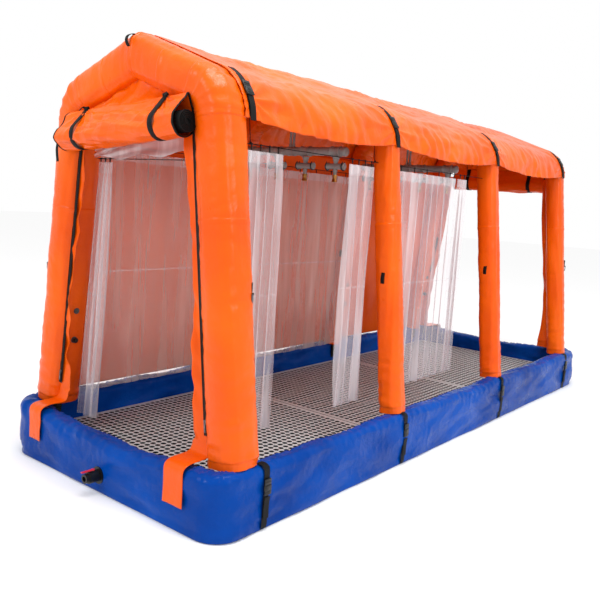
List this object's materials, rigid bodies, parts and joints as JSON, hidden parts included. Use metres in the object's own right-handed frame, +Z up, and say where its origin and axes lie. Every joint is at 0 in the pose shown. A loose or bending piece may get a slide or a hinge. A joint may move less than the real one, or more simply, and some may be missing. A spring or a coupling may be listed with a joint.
{
  "type": "inflatable decontamination shower tent",
  "caption": "Air-filled arch shower tunnel on a soft-walled catch basin, with a grated deck, clear curtains, zipped door ends and overhead spray headers",
  "frame": {"origin": "on the ground under the middle of the basin", "axes": "+Z up, front door towards -Y, length along Y, +X to the right-hand side when facing +Y"},
  "size_m": [2.038, 5.628, 2.7],
  "materials": {
    "blue_pvc": "gloss coated fabric",
    "orange_pvc": "gloss coated fabric",
    "black_plastic": "moulded",
    "black_rubber": "moulded",
    "grating_plastic": "moulded",
    "drain_chrome": "polished",
    "red_plastic": "moulded",
    "valve_plastic": "moulded",
    "black_webbing": "woven",
    "zip_black": "woven tape with moulded teeth",
    "slider_metal": "blackened",
    "clear_pvc": "clear sheet, gloss",
    "grey_pipe": "extruded",
    "brass": "machined",
    "ring_steel": "plated"
  },
  "bodies": {
    "tent": {"basin_tub": "blue_pvc", "deck_bearers": "grating_plastic", "drain_flange": "black_plastic", "drain_seal": "black_rubber", "drain_valve_body": "black_plastic", "front_arch": "orange_pvc", "second_arch": "orange_pvc", "third_arch": "orange_pvc", "rear_arch": "orange_pvc", "inflation_valves": "valve_plastic", "valve_caps": "black_plastic", "basin_straps": "black_webbing", "basin_buckles": "black_plastic", "fly_straps": "black_webbing", "fly_buckles": "black_plastic", "roof_fly": "orange_pvc", "front_gable": "orange_pvc", "rear_gable": "orange_pvc", "front_door_roll": "orange_pvc", "rear_door_roll": "orange_pvc", "roll_straps": "black_webbing", "front_jambs": "orange_pvc", "rear_jambs": "orange_pvc", "door_zips": "zip_black", "left_panels": "orange_pvc", "curtain_lines": "black_webbing", "header_front": "grey_pipe", "header_rear": "grey_pipe", "drops_front": "grey_pipe", "drops_rear": "grey_pipe", "header_risers": "grey_pipe", "supply_pipe": "grey_pipe", "inlet_coupling": "brass", "pipe_clips": "black_plastic", "nozzles_front": "brass", "nozzles_rear": "brass", "ring_tabs": "black_webbing"},
    "drain_spindle": {"drain_ball": "drain_chrome", "drain_lever": "red_plastic"},
    "deck_front": {"grating_front": "grating_plastic"},
    "deck_middle": {"grating_middle": "grating_plastic"},
    "deck_rear": {"grating_rear": "grating_plastic"},
    "zip_front_right": {"slider_front_right": "slider_metal"},
    "zip_front_left": {"slider_front_left": "slider_metal"},
    "zip_rear_right": {"slider_rear_right": "slider_metal"},
    "zip_rear_left": {"slider_rear_left": "slider_metal"},
    "door_curtain": {"front_curtain": "clear_pvc", "front_curtain_hooks": "black_plastic"},
    "side_curtain_front": {"right_curtain_front": "clear_pvc", "right_front_hooks": "black_plastic"},
    "side_curtain_back": {"right_curtain_back": "clear_pvc", "right_back_hooks": "black_plastic"},
    "side_curtain_middle": {"middle_curtains": "clear_pvc", "middle_hooks": "black_plastic"},
    "liner": {"left_curtain": "clear_pvc", "left_hooks": "black_plastic"},
    "ring_fr": {"ring_front_right": "ring_steel"},
    "ring_fl": {"ring_front_left": "ring_steel"},
    "ring_rr": {"ring_rear_right": "ring_steel"},
    "ring_rl": {"ring_rear_left": "ring_steel"}
  },
  "joints": [
    {"name": "drain_lever_turn", "type": "hinge", "parent": "tent", "child": "drain_spindle", "pos_m": [0, -2.794, 0.112], "axis": [0, 0, 1], "range_deg": [0, 90]},
    {"name": "deck_front_lift", "type": "slide", "parent": "tent", "child": "deck_front", "axis": [0, 0, 1], "range_m": [0, 0.075]},
    {"name": "deck_middle_lift", "type": "slide", "parent": "tent", "child": "deck_middle", "axis": [0, 0, 1], "range_m": [0, 0.19]},
    {"name": "deck_rear_lift", "type": "slide", "parent": "tent", "child": "deck_rear", "axis": [0, 0, 1], "range_m": [0, 0.19]},
    {"name": "zip_front_right_run", "type": "slide", "parent": "tent", "child": "zip_front_right", "axis": [-0.1184, 0, 0.993], "range_m": [-0.02, 1.4]},
    {"name": "zip_front_left_run", "type": "slide", "parent": "tent", "child": "zip_front_left", "axis": [0.1184, 0, 0.993], "range_m": [-0.02, 1.4]},
    {"name": "zip_rear_right_run", "type": "slide", "parent": "tent", "child": "zip_rear_right", "axis": [-0.1184, 0, 0.993], "range_m": [-0.02, 1.4]},
    {"name": "zip_rear_left_run", "type": "slide", "parent": "tent", "child": "zip_rear_left", "axis": [0.1184, 0, 0.993], "range_m": [-0.02, 1.4]},
    {"name": "door_curtain_slide", "type": "slide", "parent": "tent", "child": "door_curtain", "axis": [1, 0, 0], "range_m": [0, 0.8]},
    {"name": "side_curtain_front_slide", "type": "slide", "parent": "tent", "child": "side_curtain_front", "axis": [0, 1, 0], "range_m": [-0.03, 0.3]},
    {"name": "side_curtain_back_slide", "type": "slide", "parent": "tent", "child": "side_curtain_back", "axis": [0, 1, 0], "range_m": [-0.3, 0.03]},
    {"name": "side_curtain_middle_slide", "type": "slide", "parent": "tent", "child": "side_curtain_middle", "axis": [0, 1, 0], "range_m": [-0.03, 0.28]},
    {"name": "liner_slide", "type": "slide", "parent": "tent", "child": "liner", "axis": [0, 1, 0], "range_m": [-0.03, 0.03]},
    {"name": "ring_front_right_swing", "type": "hinge", "parent": "tent", "child": "ring_fr", "pos_m": [0.84894, -2.40942, 1.29], "axis": [0.6157, -0.788, 0], "range_deg": [0, 120]},
    {"name": "ring_front_left_swing", "type": "hinge", "parent": "tent", "child": "ring_fl", "pos_m": [-0.84894, -2.58058, 1.29], "axis": [-0.6157, 0.788, 0], "range_deg": [0, 120]},
    {"name": "ring_rear_right_swing", "type": "hinge", "parent": "tent", "child": "ring_rr", "pos_m": [0.85771, 2.43095, 1.29], "axis": [0.6157, -0.788, 0], "range_deg": [0, 120]},
    {"name": "ring_rear_left_swing", "type": "hinge", "parent": "tent", "child": "ring_rl", "pos_m": [-0.85771, 2.43095, 1.29], "axis": [0.6157, 0.788, 0], "range_deg": [0, 120]}
  ]
}
